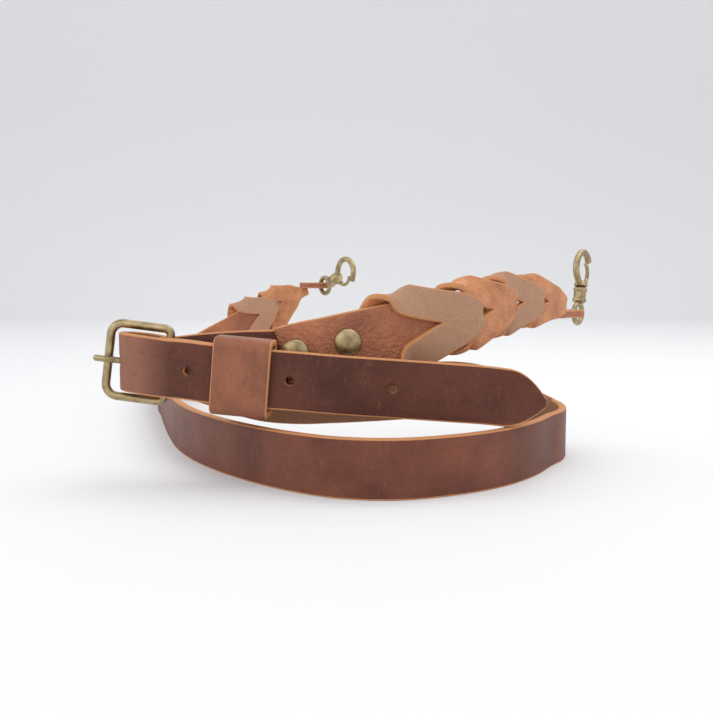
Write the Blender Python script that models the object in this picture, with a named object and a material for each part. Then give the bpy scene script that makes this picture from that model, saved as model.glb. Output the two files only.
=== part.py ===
"""Coiled leather camera strap: a long punched strap, a buckle strap, two plaits and their brass fittings."""
import math

import bmesh
import bpy
from mathutils import Matrix, Vector

MM = 0.001
CLEAR = 0.4 * MM

# Leather
STRAP_WIDTH = 20.0 * MM
STRAP_THICK = 3.0 * MM
THIN_LEATHER = 2.6 * MM
EDGE = 0.5 * MM
STEP_ALONG = 6.0 * MM
HOLE_DIAMETER = 3.0 * MM
HOLE_PITCH = 34.5 * MM
HOLE_COUNT = 3
FIRST_HOLE_X = -57.0 * MM

# Buckle
BAR_X = -66.0 * MM
BAR_Y = 28.7 * MM
BAR_Z = 40.6 * MM
BAR_WIRE = 3.0 * MM
FRAME_LENGTH = 20.6 * MM
FRAME_TILT = math.radians(7.5)
PRONG_WIRE = 2.2 * MM
PRONG_HOLE = 5.0 * MM
CUT_REACH = 7.0 * MM

# Rivets
RIVET_CAP = 9.5 * MM
RIVET_CAP_HEIGHT = 1.6 * MM
RIVET_SHANK = 2.4 * MM

# Keeper
KEEPER_X = -38.6 * MM
KEEPER_LENGTH = 19.5 * MM
KEEPER_WALL = 2.2 * MM

# Plaits
PLAIT_HALF = 12.0 * MM
PLAIT_DEPTH = 2.9 * MM
ARM_HALF = 5.2 * MM
TAIL_SPREAD = 0.6 * MM

# Snap hooks
EYE_RADIUS = 4.6 * MM
EYE_WIRE = 2.4 * MM
COLLAR_RADIUS = 3.2 * MM
COLLAR_LENGTH = 7.0 * MM
BOW_RADIUS = 7.4 * MM
BOW_WIRE = 3.0 * MM
GATE_THICK = 1.8 * MM
GATE_PIVOT = 33
GATE_SWEEP = 90
GATE_DROP = 3.4 * MM
TAB_HALF = 1.7 * MM
TAB_PLAY = 0.9 * MM

UP = Vector((0, 0, 1))

for old in list(bpy.data.objects):
    bpy.data.objects.remove(old, do_unlink=True)
PARTS = bpy.data.collections.new("camera_strap")
CUTTERS = bpy.data.collections.new("cutters")
for group in (PARTS, CUTTERS):
    bpy.context.scene.collection.children.link(group)


def material(name, colour, roughness, metallic=0.0):
    made = bpy.data.materials.new(name)
    made.use_nodes = True
    shader = made.node_tree.nodes["Principled BSDF"]
    shader.inputs["Base Color"].default_value = (*colour, 1)
    shader.inputs["Roughness"].default_value = roughness
    shader.inputs["Metallic"].default_value = metallic
    return made


LEATHER = material("brown_leather", (0.16, 0.06, 0.04), 0.5)
TAN = material("tan_leather", (0.38, 0.14, 0.06), 0.55)
BRASS = material("antique_brass", (0.45, 0.33, 0.16), 0.35, 1.0)


def place(name, mesh, finish, collection=PARTS):
    made = bpy.data.objects.new(name, mesh)
    made.data.materials.append(finish)
    collection.objects.link(made)
    return made


def curve_through(rows, spacing=STEP_ALONG):
    """Points about one spacing apart on a smooth curve through the rows, each in metres."""
    points = [Vector(row) for row in rows]
    gaps = [(b - a).length for a, b in zip(points, points[1:])]
    slopes = [(points[1] - points[0]) / gaps[0]]
    for i in range(1, len(points) - 1):
        before, after = gaps[i - 1], gaps[i]
        slopes.append(((points[i + 1] - points[i]) * before / after
                       + (points[i] - points[i - 1]) * after / before) / (before + after))
    slopes.append((points[-1] - points[-2]) / gaps[-1])
    out = []
    for i, gap in enumerate(gaps):
        count = max(1, round(gap / spacing))
        for k in range(count):
            u = k / count
            out.append((2 * u**3 - 3 * u**2 + 1) * points[i] + (u**3 - 2 * u**2 + u) * gap * slopes[i]
                       + (3 * u**2 - 2 * u**3) * points[i + 1] + (u**3 - u**2) * gap * slopes[i + 1])
    return out + [points[-1]]


def tangents(centre):
    last = len(centre) - 1
    return [(centre[min(i + 1, last)] - centre[max(i - 1, 0)]).normalized() for i in range(last + 1)]


def loft(sections):
    """Closed mesh through rings of equally many points."""
    work = bmesh.new()
    rings = [[work.verts.new(p) for p in ring] for ring in sections]
    for a, b in zip(rings, rings[1:]):
        for i in range(len(a)):
            j = (i + 1) % len(a)
            work.faces.new((a[i], a[j], b[j], b[i]))
    work.faces.new(list(reversed(rings[0])))
    work.faces.new(rings[-1])
    bmesh.ops.recalc_face_normals(work, faces=work.faces)
    mesh = bpy.data.meshes.new("ribbon")
    work.to_mesh(mesh)
    work.free()
    return mesh


def ribbon(centre, thickness, half=None, facing=None, up=UP):
    """A strap lofted along its centre points, its width along up, or square to a given facing."""
    sections = []
    for i, (point, along) in enumerate(zip(centre, tangents(centre))):
        if facing:
            out = (facing[i] - along * facing[i].dot(along)).normalized()
            across = along.cross(out)
        else:
            across = (up - along * along.dot(up)).normalized()
            out = along.cross(across)
        w = half(i, centre) if half else STRAP_WIDTH / 2
        t = thickness / 2
        e = min(EDGE, w / 3)
        corners = ((w - e, t), (w, t - e), (w, e - t), (w - e, -t),
                   (e - w, -t), (-w, e - t), (-w, t - e), (e - w, t))
        sections.append([point + across * a + out * b for a, b in corners])
    return loft(sections)


def boolean(target, other, operation):
    step = target.modifiers.new(operation.lower(), "BOOLEAN")
    step.operation = operation
    step.object = other
    step.solver = "EXACT"
    bpy.context.view_layer.update()
    baked = bpy.data.meshes.new_from_object(target.evaluated_get(bpy.context.evaluated_depsgraph_get()))
    target.modifiers.clear()
    target.data = baked
    bpy.data.objects.remove(other, do_unlink=True)


def turned(name, radius_heights, matrix, finish=BRASS, sides=16, collection=PARTS):
    """A round solid through (radius, height) rows, with its axis along the matrix's Z."""
    rings = [[matrix @ Vector((r * math.cos(math.tau * k / sides), r * math.sin(math.tau * k / sides), h))
              for k in range(sides)] for r, h in radius_heights]
    return place(name, loft(rings), finish, collection)


def wire(name, points, diameter, closed=False, finish=BRASS, sides=2, collection=PARTS):
    """A round wire through the points, as a mesh with welded caps."""
    curve = bpy.data.curves.new(name, "CURVE")
    curve.dimensions = "3D"
    curve.bevel_depth = diameter / 2
    curve.bevel_resolution = sides
    curve.use_fill_caps = True
    run = curve.splines.new("POLY")
    run.points.add(len(points) - 1)
    for spot, point in zip(run.points, points):
        spot.co = (*point, 1)
    run.use_cyclic_u = closed
    guide = bpy.data.objects.new(name + "_guide", curve)
    bpy.context.scene.collection.objects.link(guide)
    bpy.context.view_layer.update()
    mesh = bpy.data.meshes.new_from_object(guide.evaluated_get(bpy.context.evaluated_depsgraph_get()))
    bpy.data.objects.remove(guide, do_unlink=True)
    work = bmesh.new()
    work.from_mesh(mesh)
    bmesh.ops.remove_doubles(work, verts=work.verts, dist=1e-6)
    bmesh.ops.recalc_face_normals(work, faces=work.faces)
    work.to_mesh(mesh)
    work.free()
    mesh.materials.clear()
    return place(name, mesh, finish, collection)


def frame_at(origin, out, up):
    """A matrix at the origin whose Z looks along out and whose Y is nearest to up."""
    z = out.normalized()
    x = up.cross(z).normalized()
    y = z.cross(x)
    return Matrix.Translation(origin) @ Matrix((x, y, z)).transposed().to_4x4()


# The layers at the buckle, from the front to the back
LEG_OFFSET = BAR_WIRE / 2 + CLEAR + THIN_LEATHER / 2
FRONT_LAYER_Y = BAR_Y - LEG_OFFSET - THIN_LEATHER / 2 - CLEAR - STRAP_THICK / 2
BACK_LAYER_Y = 2 * BAR_Y - FRONT_LAYER_Y
FOLD_RADIUS = BAR_Y - FRONT_LAYER_Y
FOLD_X = BAR_X - 8.5 * MM
HALF = STRAP_WIDTH / 2

# Long strap: columns are x, y and the lift of its lower edge above the table, all in strap widths
BILLET_ROWS = ((3.25, 1.3, 0.89), (2.85, 1.18, 0.965), (2.4, 1.08, 1.04), (1.5, 0.945, 1.13),
               (0.62, 0.875, 1.2), (-0.3, 0.855, 1.265), (-1.15, 0.87, 1.335), (-1.93, 0.92, 1.39),
               (-2.6, 0.99, 1.46), (-2.95, 1.04, 1.5))
BACK_ROWS = ((-2.7, 1.8, 1.33), (-2.1, 1.82, 1.12), (-1.65, 1.85, 0.99), (-1.1, 1.89, 0.935),
             (-0.4, 1.93, 0.945), (0.4, 1.99, 0.975), (1.1, 2.075, 1.01), (1.6, 2.25, 1.03),
             (1.95, 2.475, 1), (2.3, 2.8, 0.915), (2.65, 3.2, 0.79), (3, 3.65, 0.61), (3.35, 4.075, 0.4),
             (3.65, 4.375, 0.23), (3.95, 4.425, 0.09), (4.15, 4.15, 0.02), (4.15, 3.7, 0),
             (3.975, 3.15, 0), (3.64, 2.62, 0))
COIL_ROWS = ((3.2, 1.85), (2.45, 0.975), (1.55, 0.38), (0.61, 0.075), (-0.25, 0.185), (-1.085, 0.675),
             (-1.65, 1.175), (-2.37, 1.99), (-3.075, 3.025), (-3.65, 4.2), (-4.1, 5.5), (-4.55, 7),
             (-5, 8.6), (-5.4, 10), (-5.6, 11.1))
TURN_ROWS = ((-5.55, 12, 0.125), (-5.15, 12.7, 0.425), (-4.5, 13.1, 0.825), (-3.8, 13.25, 1.225))


def in_widths(rows):
    return [[value * STRAP_WIDTH for value in row] for row in rows]


def lifted(rows):
    return [(x, y, lift + HALF) for x, y, lift in in_widths(rows)]


fold = []
for turn in range(7):
    angle = math.pi * turn / 6
    fold_x = FOLD_X - FOLD_RADIUS * math.sin(angle)
    fold.append((fold_x, BAR_Y - FOLD_RADIUS * math.cos(angle),
                 BAR_Z + (BAR_X - fold_x) * math.tan(FRAME_TILT)))
fold.insert(0, (BAR_X, FRONT_LAYER_Y, BAR_Z - 0.2 * MM))
fold.append((BAR_X, BACK_LAYER_Y, BAR_Z - 0.6 * MM))
long_route = curve_through(lifted(BILLET_ROWS) + fold + lifted(BACK_ROWS)
                           + lifted([(x, y, 0) for x, y in COIL_ROWS]) + lifted(TURN_ROWS))

TIP_LENGTH = 15.0 * MM


def pointed(i, centre):
    """Half the strap's width, less near its pointed end."""
    share = min(1.0, (centre[i] - centre[0]).length / TIP_LENGTH)
    return HALF * (0.16 + 0.84 * math.sin(math.pi / 2 * share) ** 0.9)


long_strap = place("long_strap", ribbon(long_route, STRAP_THICK, pointed), LEATHER)


def along_at_x(route, x):
    """The first point on the route that reaches x."""
    for a, b in zip(route, route[1:]):
        if (a.x - x) * (b.x - x) <= 0 and a.x != b.x:
            return a.lerp(b, (x - a.x) / (b.x - a.x)), (b - a).normalized()
    return route[0], (route[1] - route[0]).normalized()


for number in range(HOLE_COUNT):
    spot, way = along_at_x(long_route, FIRST_HOLE_X + number * HOLE_PITCH)
    face = UP.cross(way)
    punch = turned("punch", ((HOLE_DIAMETER / 2, -4 * MM), (HOLE_DIAMETER / 2, 4 * MM)),
                   frame_at(spot, face, UP), collection=CUTTERS)
    boolean(long_strap, punch, "DIFFERENCE")
apex_x = FOLD_X - FOLD_RADIUS
apex = Vector((apex_x, BAR_Y - 1.4 * MM, BAR_Z + (BAR_X - apex_x) * math.tan(FRAME_TILT)))
punch = turned("punch", ((PRONG_HOLE / 2, -4 * MM), (PRONG_HOLE / 2, 4 * MM)),
               frame_at(apex, Vector((-1, 0, 0)), UP), collection=CUTTERS)
boolean(long_strap, punch, "DIFFERENCE")

# Buckle strap: a short turned end in front, the fold round the bar, and the long leg behind
KEEPER_LEG_Y = 18.4 * MM + STRAP_THICK / 2 + CLEAR + THIN_LEATHER / 2
buckle_rows = [(-27 * MM, KEEPER_LEG_Y - 0.5 * MM, BAR_Z - 4.0 * MM),
               (KEEPER_X, KEEPER_LEG_Y, BAR_Z - 2.8 * MM),
               (-50 * MM, KEEPER_LEG_Y + 1.8 * MM, BAR_Z - 1.6 * MM),
               (-58 * MM, KEEPER_LEG_Y + 3.3 * MM, BAR_Z - 0.6 * MM)]
for turn in range(7):
    angle = math.pi * turn / 6
    buckle_rows.append((BAR_X - LEG_OFFSET * math.sin(angle), BAR_Y - LEG_OFFSET * math.cos(angle), BAR_Z))
LEG_ROWS = ((-2.6, 1.55, 2.1), (-2, 1.53, 2.14), (-1.3, 1.57, 2.16), (-0.5, 1.61, 2.22),
            (0.2, 1.72, 2.32))
buckle_rows += in_widths(LEG_ROWS)
buckle_route = curve_through(buckle_rows, 3 * MM)
bar_up = Vector((math.sin(FRAME_TILT), 0, math.cos(FRAME_TILT)))
buckle_strap = place("buckle_strap", ribbon(buckle_route, THIN_LEATHER, up=bar_up), LEATHER)
slot = turned("slot", ((PRONG_HOLE / 2, -3 * MM), (PRONG_HOLE / 2, 4 * MM)),
              frame_at(Vector((BAR_X - LEG_OFFSET, BAR_Y, BAR_Z)), Vector((-1, 0, 0)), UP),
              collection=CUTTERS)
boolean(buckle_strap, slot, "DIFFERENCE")

# Keeper: a closed leather loop round the punched end and the buckle strap's turned end
keeper_spot, keeper_way = along_at_x(long_route, KEEPER_X)
keeper_play = 0.6 * MM
keeper_depth = STRAP_THICK + THIN_LEATHER + CLEAR + 4 * keeper_play
keeper_height = STRAP_WIDTH + 2.2 * MM
keeper_back = Vector((-keeper_way.y, keeper_way.x, 0)).normalized()
if keeper_back.y < 0:
    keeper_back = -keeper_back
keeper_centre = keeper_spot + keeper_back * ((keeper_depth - STRAP_THICK) / 2 - keeper_play)
keeper_along = keeper_way if keeper_way.x > 0 else -keeper_way


def keeper_ring(wall, shift):
    """Corners of the loop's outline, rounded, one wall out from its hollow."""
    ring = []
    corner = 1.2 * MM + wall
    up = keeper_back.cross(keeper_along).normalized()
    up = up if up.z > 0 else -up
    for a, b, start in ((1, 1, 0), (-1, 1, 90), (-1, -1, 180), (1, -1, 270)):
        for k in range(4):
            angle = math.radians(start + 30 * k)
            ring.append(keeper_centre + keeper_along * shift
                        + keeper_back * (a * (keeper_depth / 2 + wall - corner) + corner * math.cos(angle))
                        + up * (b * (keeper_height / 2 + wall - corner) + corner * math.sin(angle)))
    return ring


keeper = place("keeper", loft([keeper_ring(KEEPER_WALL, s * KEEPER_LENGTH / 2) for s in (-1, 1)]), TAN)
hollow = place("hollow", loft([keeper_ring(0, s * KEEPER_LENGTH) for s in (-1, 1)]), TAN, CUTTERS)
boolean(keeper, hollow, "DIFFERENCE")

# Buckle frame: a rounded ring of wire, turned in its own plane, and a straight prong on its bar
frame_half_height = HALF + 1.3 * MM + BAR_WIRE / 2
frame_corner = 4.2 * MM
frame_points = []
for a, b, start in ((0, 1, 0), (-1, 1, 90), (-1, -1, 180), (0, -1, 270)):
    for k in range(5):
        angle = math.radians(start + 22.5 * k)
        radius = frame_corner if a else 2.2 * MM
        x = (-FRAME_LENGTH + radius if a else -radius) + radius * math.cos(angle)
        z = b * (frame_half_height - radius) + radius * math.sin(angle)
        turn = Matrix.Rotation(FRAME_TILT, 4, "Y")
        frame_points.append(Vector((BAR_X, BAR_Y, BAR_Z)) + turn @ Vector((x, 0, z)))
buckle_frame = wire("buckle_frame", frame_points, BAR_WIRE, closed=True)
prong_front = BAR_Y - BAR_WIRE / 2 - PRONG_WIRE / 2 - CLEAR
# columns are the distance left of the bar's middle and the place in front of its middle
prong_tip = FRAME_LENGTH + 3.2 * MM
prong_rows = []
for left, ahead in ((BAR_WIRE / 2 + CLEAR + PRONG_WIRE / 2, 0), (6 * MM, 0.5 * MM),
                    (BAR_X - apex_x - 1 * MM, 1.3 * MM), (BAR_X - apex_x + 1.6 * MM, 2.3 * MM),
                    (FRAME_LENGTH - 1.1 * MM, BAR_Y - prong_front),
                    (prong_tip, BAR_Y - prong_front + 0.1 * MM)):
    prong_rows.append((BAR_X - left, BAR_Y - ahead, BAR_Z + left * math.tan(FRAME_TILT)))
buckle_prong = wire("buckle_prong", curve_through(prong_rows, 1.5 * MM), PRONG_WIRE)


# columns: an arm's place along from its notch, in pitches; across, in half widths of the plait; out, in
# depths of the plait; and the parts of its facing across and out
ARM_ROWS = ((-0.46, 0.24, -1.1, 0, -1), (-0.26, 0.80, -1.0, 0.4, -1), (-0.11, 1.0, 0, 1, 0),
            (0.02, 0.72, 0.9, 0.3, 1), (0.20, 0.30, 1.0, 0, 1), (0.36, 0.12, 0.4, 0, 1),
            (0.56, 0.16, -1.1, 0, 1))


def plait(name, axis_rows, chevrons, start, end):
    """One strap pulled through its own slits: pairs of arms that meet in chevrons along the axis."""
    axis = curve_through(in_widths(axis_rows), 1.0 * MM)
    reach = [0.0]
    for a, b in zip(axis, axis[1:]):
        reach.append(reach[-1] + (b - a).length)

    def spot(along, across, out):
        share = min(max(along, 0), reach[-1] - 1e-6)
        i = max(k for k in range(len(reach) - 1) if reach[k] <= share)
        way = (axis[i + 1] - axis[i]).normalized()
        base = axis[i] + way * (along - reach[i])
        side = (UP - way * way.z).normalized()
        front = side.cross(way)
        front = front if front.y < 0 else -front
        return base + side * across + front * out, side, front

    pitch = (end - start) / chevrons
    body = None
    for k in range(chevrons):
        notch = start + pitch * k
        narrow = 1.0 - 0.09 * k
        for side_sign in (1, -1):
            points, faces = [], []
            for along, across, out, face_across, face_out in ARM_ROWS:
                p, side, front = spot(notch + along * pitch, side_sign * across * PLAIT_HALF * narrow,
                                      out * PLAIT_DEPTH)
                points.append(p)
                faces.append((side * side_sign * face_across + front * face_out).normalized())
            fine = curve_through(points, 4.4 * MM)
            lengths = [0.0]
            for a, b in zip(points, points[1:]):
                lengths.append(lengths[-1] + (b - a).length)
            run, facing = 0.0, []
            for n, p in enumerate(fine):
                if n:
                    run += (p - fine[n - 1]).length
                i = max(q for q in range(len(points) - 1) if lengths[q] <= max(run * 0.985, 0))
                mix = min(1, (run - lengths[i]) / (lengths[i + 1] - lengths[i]))
                facing.append(faces[i].lerp(faces[i + 1], max(0, mix)))
            arm = place("arm", ribbon(fine, THIN_LEATHER, lambda i, c: ARM_HALF * narrow, facing), LEATHER)
            if body is None:
                body = arm
                body.name = name
            else:
                boolean(body, arm, "UNION")
    return body, spot, reach[-1]


def join_ribbon(body, points, half, thickness=THIN_LEATHER):
    extra = place("tail", ribbon(points, thickness, half), LEATHER)
    boolean(body, extra, "UNION")


def snap_hook(side, eye, along, lean):
    """A swivel snap hook: eye and collar, hook on its swivel, and the gate lever."""
    flat = Vector((along.x, along.y, 0)).normalized()
    normal = flat.cross(UP)
    axis = (UP * math.cos(lean) + flat * math.sin(lean)).normalized()
    wide = normal.cross(axis).normalized()
    wide = wide if wide.dot(flat) > 0 else -wide

    def local(x, z, y=0.0):
        return eye + wide * x + axis * z + normal * y

    ring = [local(EYE_RADIUS * math.cos(math.tau * k / 16), EYE_RADIUS * math.sin(math.tau * k / 16))
            for k in range(16)]
    eye_part = wire("snap_%s_eye" % side, ring, EYE_WIRE, closed=True)
    up_matrix = frame_at(local(0, EYE_RADIUS + 0.4 * MM), axis, normal)
    collar = turned("collar", ((COLLAR_RADIUS * 0.8, 0), (COLLAR_RADIUS, 0.8 * MM),
                               (COLLAR_RADIUS, COLLAR_LENGTH - MM),
                               (COLLAR_RADIUS * 0.85, COLLAR_LENGTH)), up_matrix)
    boolean(eye_part, collar, "UNION")
    foot = EYE_RADIUS + 0.4 * MM + COLLAR_LENGTH + CLEAR
    centre_z = foot + 1.6 * MM + BOW_RADIUS
    body = turned("snap_%s_hook" % side, ((COLLAR_RADIUS * 0.8, 0), (COLLAR_RADIUS, 0.6 * MM),
                                          (COLLAR_RADIUS * 0.75, 2.6 * MM)),
                  frame_at(local(0, foot), axis, normal))

    def on_bow(degrees, inward=0.0):
        turn = math.radians(degrees)
        return local((BOW_RADIUS - inward) * math.sin(turn), centre_z - (BOW_RADIUS - inward) * math.cos(turn))

    bow = [on_bow(a) for a in range(GATE_PIVOT, -241, -13)]
    boolean(body, wire("bow", bow, BOW_WIRE), "UNION")
    # The lever's free end closes against the inside of the bow's tip, so that it can only swing inward
    lever = [on_bow(GATE_PIVOT + 5 + GATE_SWEEP * k / 7, GATE_DROP * (k / 7) ** 1.5) for k in range(8)]
    gate = wire("snap_%s_gate" % side, lever, GATE_THICK)
    return body, gate, local(0, foot), on_bow(GATE_PIVOT)


RIGHT_AXIS = ((0.1, 1.52, 2.515), (0.77, 1.625, 2.64), (1.585, 1.9, 2.8), (2.2, 2.45, 2.93),
              (2.78, 3.2, 3.04), (3.35, 4, 3.09), (3.895, 4.8, 3.08), (4.4, 5.55, 2.98),
              (4.75, 6.05, 2.85), (4.975, 6.35, 2.76))
LEFT_AXIS = ((-3.8, 13.25, 2.1), (-3.1, 13.1, 2.4), (-2.4, 12.8, 2.75), (-1.8, 12.4, 3.05),
             (-1.4, 12, 3.26), (-1.1, 11.6, 3.38))


RIGHT_TAIL = ((-1.3, 1.41, 2.21), (-1.07, 1.42, 2.27), (-0.5, 1.445, 2.38), (-0.165, 1.475, 2.45),
              (0.25, 1.53, 2.53), (0.77, 1.6, 2.63), (1.4, 1.8, 2.75), (1.8, 2.1, 2.84))
LEFT_TAIL = ((-5.225, 12.28, 1.075), (-5.03, 12.56, 1.225), (-4.75, 12.77, 1.4), (-4.445, 12.92, 1.575),
             (-3.765, 13.065, 1.925), (-3.2, 13.08, 2.225), (-2.7, 12.95, 2.5))
# columns are the rivet's middle and the height of its stack, in strap widths, then its outward direction
RIGHT_RIVETS = ((-1.07, 1.5, 2.27, 0.31, 0.06, -1), (-0.165, 1.57, 2.45, 0.34, 0.10, -1))
LEFT_RIVETS = ((-5.09, 12.635, 1.1, 0.42, 0.66, -0.75), (-4.47, 13.015, 1.45, 0.37, 0.3, -0.95))


def rivet(name, centre, out, stack):
    matrix = frame_at(centre, out, UP)
    cap = RIVET_CAP / 2
    top = stack / 2 + 0.3 * MM
    front = ((RIVET_SHANK / 2, top), (cap, top), (cap * 0.9, top + RIVET_CAP_HEIGHT * 0.6),
             (cap * 0.45, top + RIVET_CAP_HEIGHT))
    return turned(name, tuple((r, -h) for r, h in reversed(front)) + front, matrix)


def riveted_tail(side, body, carrier, tail_rows, rivets):
    """The plait's tapered tail over its strap, with clearance holes and double-cap rivets."""
    tail = curve_through(in_widths(tail_rows), 4 * MM)
    join_ribbon(body, tail, lambda i, c: HALF + TAIL_SPREAD * i / (len(c) - 1))
    for number, (x, y, z, stack, out_x, out_y) in enumerate(rivets, 1):
        out = Vector((out_x, out_y, 0)).normalized()
        centre = Vector((x, y, z)) * STRAP_WIDTH
        for target in (body, carrier):
            bore = RIVET_SHANK / 2 + CLEAR
            shank = turned("bore", ((bore, -CUT_REACH), (bore, CUT_REACH)), frame_at(centre, out, UP),
                           collection=CUTTERS)
            boolean(target, shank, "DIFFERENCE")
        rivet("rivet_%s_%d" % (side, number), centre, out, stack * STRAP_WIDTH)


right, spot_right, right_length = plait("plait_right", RIGHT_AXIS, 4, 37 * MM, 143 * MM)
riveted_tail("right", right, buckle_strap, RIGHT_TAIL, RIGHT_RIVETS)
left, spot_left, left_length = plait("plait_left", LEFT_AXIS, 2, 26 * MM, 66 * MM)
riveted_tail("left", left, long_strap, LEFT_TAIL, LEFT_RIVETS)

# The right hook stands nearly upright on its eye, and the left one leans along its plait
joint_spots = {}
for side, body, spot, length, lean in (("right", right, spot_right, right_length, math.radians(12)),
                                       ("left", left, spot_left, left_length, math.radians(70))):
    base, _, _ = spot(length, 0, 0)
    ahead, _, _ = spot(length + MM, 0, 0)
    way = ahead - base
    way = Vector((way.x, way.y, 0)).normalized()
    eye = base + way * (EYE_RADIUS + 2.0 * MM)
    # The tab narrows, goes through the eye, round its near side and back
    tab_gap = EYE_WIRE / 2 + TAB_PLAY + THIN_LEATHER / 2
    bar = eye - way * EYE_RADIUS
    cross = way.cross(UP)
    near_gap = THIN_LEATHER / 2 + CLEAR / 2
    tab = [base - way * 16 * MM + cross * near_gap, base - way * 8 * MM + cross * near_gap]
    for turn in range(7):
        angle = math.pi * turn / 6
        tab.append(bar + way * tab_gap * math.sin(angle) + cross * tab_gap * math.cos(angle))
    tab += [base - way * 8 * MM - cross * near_gap, base - way * 16 * MM - cross * near_gap]
    join_ribbon(body, curve_through(tab, 3 * MM), lambda i, c: TAB_HALF)
    joint_spots[side] = snap_hook(side, eye, way, lean)

# Origin: the middle of the model's footprint, on the table
bpy.context.view_layer.update()
corners = [o.matrix_world @ Vector(c) for o in PARTS.objects for c in o.bound_box]
low = Vector([min(c[i] for c in corners) for i in range(3)])
high = Vector([max(c[i] for c in corners) for i in range(3)])
shift = Vector((-(low.x + high.x) / 2, -(low.y + high.y) / 2, 0))
for item in PARTS.objects:
    item.data.transform(Matrix.Translation(shift))
for hook, gate, swivel, pivot in joint_spots.values():
    for item, centre in ((hook, swivel + shift), (gate, pivot + shift)):
        item.data.transform(Matrix.Translation(-centre))
        item.location = centre
for item in PARTS.objects:
    item.data.shade_smooth()
    item.data.set_sharp_from_angle(angle=math.radians(35))
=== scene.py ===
"""Looks of the coiled leather camera strap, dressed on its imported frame."""
import math

import bmesh
import bpy
from mathutils import Matrix, Vector


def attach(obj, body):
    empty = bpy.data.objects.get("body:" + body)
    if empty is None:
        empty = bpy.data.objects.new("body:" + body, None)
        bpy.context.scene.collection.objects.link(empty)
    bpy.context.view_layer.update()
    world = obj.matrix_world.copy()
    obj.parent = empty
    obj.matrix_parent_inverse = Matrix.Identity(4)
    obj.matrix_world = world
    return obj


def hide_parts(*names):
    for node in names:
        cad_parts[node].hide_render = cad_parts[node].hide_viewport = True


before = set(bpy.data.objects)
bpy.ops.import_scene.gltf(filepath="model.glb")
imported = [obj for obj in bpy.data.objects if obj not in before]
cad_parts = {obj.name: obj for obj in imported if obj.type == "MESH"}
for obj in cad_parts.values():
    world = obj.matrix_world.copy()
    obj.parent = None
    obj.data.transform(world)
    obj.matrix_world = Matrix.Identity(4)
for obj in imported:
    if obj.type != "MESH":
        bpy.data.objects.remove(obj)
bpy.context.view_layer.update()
MM = 0.001

# Camera and studio: the eye is 70 mm above the table and 270 mm in front of the coil,
# looking 5 degrees down, over a plain pale floor that bends up into a backdrop.
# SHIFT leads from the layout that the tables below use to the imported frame.
SHIFT = Vector((0.97, -133.87, 0.0)) * MM
EYE_BACK = 270 * MM
EYE_HEIGHT = 70 * MM
LOOK_DOWN = math.radians(5)
FOCAL_PIXELS = 860
PHOTO_PIXELS = 713
SENSOR_WIDTH = 36
lens = bpy.data.cameras.new("camera")
lens.sensor_width = SENSOR_WIDTH
lens.lens = SENSOR_WIDTH * FOCAL_PIXELS / PHOTO_PIXELS
lens.clip_start = 0.01
camera = bpy.data.objects.new("camera", lens)
camera.location = SHIFT + Vector((0, -EYE_BACK, EYE_HEIGHT))
camera.rotation_euler = (math.radians(90) - LOOK_DOWN, 0, 0)
bpy.context.scene.collection.objects.link(camera)
bpy.context.scene.camera = camera


class Socket:
    """A shader socket with arithmetic, so that a mask is written as a Python expression."""

    def __init__(self, tree, value):
        self.tree = tree
        self.value = value

    def math(self, operation, *others):
        node = self.tree.nodes.new("ShaderNodeMath")
        node.operation = operation
        for slot, item in zip(node.inputs, (self, *others)):
            feed(self.tree, slot, item)
        return Socket(self.tree, node.outputs[0])

    def __add__(self, other):
        return self.math("ADD", other)

    def __mul__(self, other):
        return self.math("MULTIPLY", other)

    def __sub__(self, other):
        return self.math("SUBTRACT", other)

    def __rsub__(self, other):
        return (self * -1) + other

    __radd__ = __add__
    __rmul__ = __mul__

    def clamp(self):
        return self.math("MAXIMUM", 0.0).math("MINIMUM", 1.0)


def feed(tree, slot, item):
    if isinstance(item, Socket):
        tree.links.new(item.value, slot)
    elif isinstance(item, tuple) and len(item) == 3 and slot.type == "RGBA":
        slot.default_value = (*item, 1)
    else:
        slot.default_value = item


class Finish:
    """A procedural material: its node tree, and the ways in which its nodes are made."""

    def __init__(self, name):
        self.made = bpy.data.materials.new(name)
        self.made.use_nodes = True
        self.tree = self.made.node_tree
        self.shader = self.tree.nodes["Principled BSDF"]
        self.place = self.node("ShaderNodeTexCoord", out="Object")

    def node(self, kind, settings=None, out=0, **inputs):
        node = self.tree.nodes.new(kind)
        for key, value in (settings or {}).items():
            setattr(node, key, value)
        for key, item in inputs.items():
            feed(self.tree, node.inputs[key], item)
        return Socket(self.tree, node.outputs[out])

    def noise(self, scale, detail=3.0, roughness=0.6, stretch=(1, 1, 1)):
        """Noise in object space; scale is in features per metre."""
        spread = self.node("ShaderNodeMapping", Scale=stretch, Vector=self.place)
        return self.node("ShaderNodeTexNoise", Vector=spread, Scale=scale, Detail=detail, Roughness=roughness)

    def cells(self, scale):
        return self.node("ShaderNodeTexVoronoi", {"feature": "F1"}, Vector=self.place, Scale=scale)

    def along(self, axis):
        return self.node("ShaderNodeSeparateXYZ", out=axis, Vector=self.place)

    def blend(self, share, low, high):
        """Mixes two colours; the numbers are the places of a Mix node's colour sockets."""
        made = self.tree.nodes.new("ShaderNodeMix")
        made.data_type = "RGBA"
        for place, item in ((0, share), (6, low), (7, high)):
            feed(self.tree, made.inputs[place], item)
        return Socket(self.tree, made.outputs[2])

    def finish(self, colour, rough, relief=None, depth=0.0002, metallic=0.0, strength=1.0):
        feed(self.tree, self.shader.inputs["Base Color"], colour)
        feed(self.tree, self.shader.inputs["Roughness"], rough)
        self.shader.inputs["Metallic"].default_value = metallic
        if relief is not None:
            bump = self.node("ShaderNodeBump", Height=relief, Distance=depth, Strength=strength)
            feed(self.tree, self.shader.inputs["Normal"], bump)
        return self.made


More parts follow.
